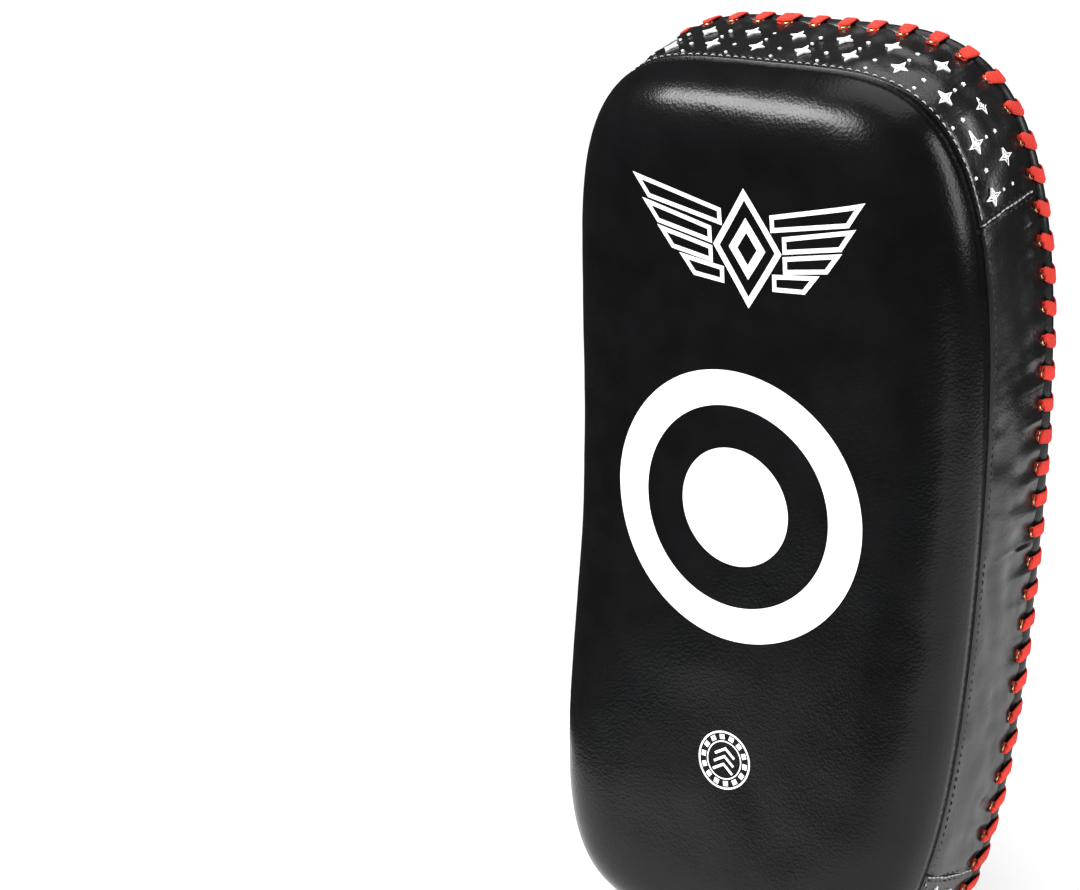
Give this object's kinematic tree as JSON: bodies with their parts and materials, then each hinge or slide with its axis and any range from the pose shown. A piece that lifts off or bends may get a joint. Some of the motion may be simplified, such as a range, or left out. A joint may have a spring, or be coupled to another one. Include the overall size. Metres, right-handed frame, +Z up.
{
  "type": "thai pad",
  "caption": "Curved leather kick and punch pad with a domed strike face, red laced rear edge, riveted grip handle and padded hook-and-loop forearm straps.",
  "frame": {"origin": "middle of the flat bottom end the pad stands on, under the front seam line of the unbowed middle", "axes": "+Z up the length of the pad, strike face towards -Y, straps towards +Y, ring side of the straps at -X"},
  "size_m": [0.217, 0.2025, 0.4184],
  "materials": {
    "face_leather": "smooth semi-gloss black hide with a printed target",
    "end_leather": "smooth black hide with a small printed repeat",
    "side_leather": "smooth black hide",
    "back_leather": "smooth glossy black hide",
    "welt_leather": "black rolled hide",
    "lace_red": "flat woven red lace",
    "eyelet_brass": "small plated eyelets",
    "label_cloth": "pale stitched label",
    "foam_dense": "dense closed-cell foam",
    "foam_core": "light closed-cell foam",
    "grip_leather": "glossy black hide over padding",
    "tab_leather": "black hide with a pale cut edge",
    "webbing": "black woven webbing",
    "rivet_brass": "pale brass domed rivets",
    "cushion_leather": "padded black hide with piped edges",
    "strap_leather": "black hide strap",
    "loop_pile": "black loop pile",
    "hook_pile": "black hook tape",
    "binding_cloth": "grey-black woven binding",
    "ring_metal": "aged plated wire"
  },
  "bodies": {
    "casing": {"strike_face_panel": "face_leather", "top_end_panel": "end_leather", "bottom_end_panel": "end_leather", "left_side_panel": "side_leather", "right_side_panel": "side_leather", "back_panel_centre": "back_leather", "back_panel_left": "back_leather", "back_panel_right": "back_leather", "welt": "welt_leather", "lace": "lace_red", "back_eyelets": "eyelet_brass", "side_eyelets": "eyelet_brass", "label_patch": "label_cloth", "strike_foam": "foam_dense", "core_foam": "foam_core", "back_foam": "foam_core", "handle_tab_left": "tab_leather", "handle_tab_right": "tab_leather", "handle_webbing_left": "webbing", "handle_webbing_right": "webbing", "handle_rivets": "rivet_brass", "handle_rivet_washers": "rivet_brass", "upper_strap_anchor": "tab_leather", "upper_ring_keeper": "tab_leather", "upper_keeper_patch": "tab_leather", "lower_strap_anchor": "tab_leather", "lower_ring_keeper": "tab_leather", "lower_keeper_patch": "tab_leather"},
    "grip": {"handle_cover": "grip_leather", "handle_core": "foam_core"},
    "upper_strap": {"upper_strap_cushion": "cushion_leather", "upper_strap_foam": "foam_core", "upper_strap_band": "strap_leather", "upper_loop_tape": "loop_pile"},
    "upper_flap": {"upper_strap_flap": "strap_leather", "upper_hook_tape": "hook_pile", "upper_flap_binding": "binding_cloth"},
    "upper_ring": {"upper_ring": "ring_metal"},
    "lower_strap": {"lower_strap_cushion": "cushion_leather", "lower_strap_foam": "foam_core", "lower_strap_band": "strap_leather", "lower_loop_tape": "loop_pile"},
    "lower_flap": {"lower_strap_flap": "strap_leather", "lower_hook_tape": "hook_pile", "lower_flap_binding": "binding_cloth"},
    "lower_ring": {"lower_ring": "ring_metal"}
  },
  "joints": [
    {"name": "grip_swing", "type": "hinge", "parent": "casing", "child": "grip", "pos_m": [0, 0.04283, 0.34641], "axis": [1, 0, 0], "range_deg": [-20, 20], "stiffness_Nm_per_rad": 1.5},
    {"name": "upper_strap_swing", "type": "hinge", "parent": "casing", "child": "upper_strap", "pos_m": [0, 0.05868, 0.24339], "axis": [1, 0, 0], "range_deg": [-8, 8], "stiffness_Nm_per_rad": 2},
    {"name": "upper_flap_peel", "type": "hinge", "parent": "upper_strap", "child": "upper_flap", "pos_m": [-0.084, 0.0841, 0.24544], "axis": [0, -0.0805, 0.9968], "range_deg": [0, 110]},
    {"name": "upper_ring_swing", "type": "hinge", "parent": "upper_strap", "child": "upper_ring", "pos_m": [-0.072, 0.05868, 0.24339], "axis": [0, -0.0805, 0.9968], "range_deg": [-5, 5]},
    {"name": "lower_strap_swing", "type": "hinge", "parent": "casing", "child": "lower_strap", "pos_m": [0, 0.05876, 0.11269], "axis": [1, 0, 0], "range_deg": [-8, 8], "stiffness_Nm_per_rad": 2},
    {"name": "lower_flap_peel", "type": "hinge", "parent": "lower_strap", "child": "lower_flap", "pos_m": [-0.084, 0.08418, 0.11067], "axis": [0, 0.0792, 0.9969], "range_deg": [0, 110]},
    {"name": "lower_ring_swing", "type": "hinge", "parent": "lower_strap", "child": "lower_ring", "pos_m": [-0.072, 0.05876, 0.11269], "axis": [0, 0.0792, 0.9969], "range_deg": [-5, 5]}
  ]
}
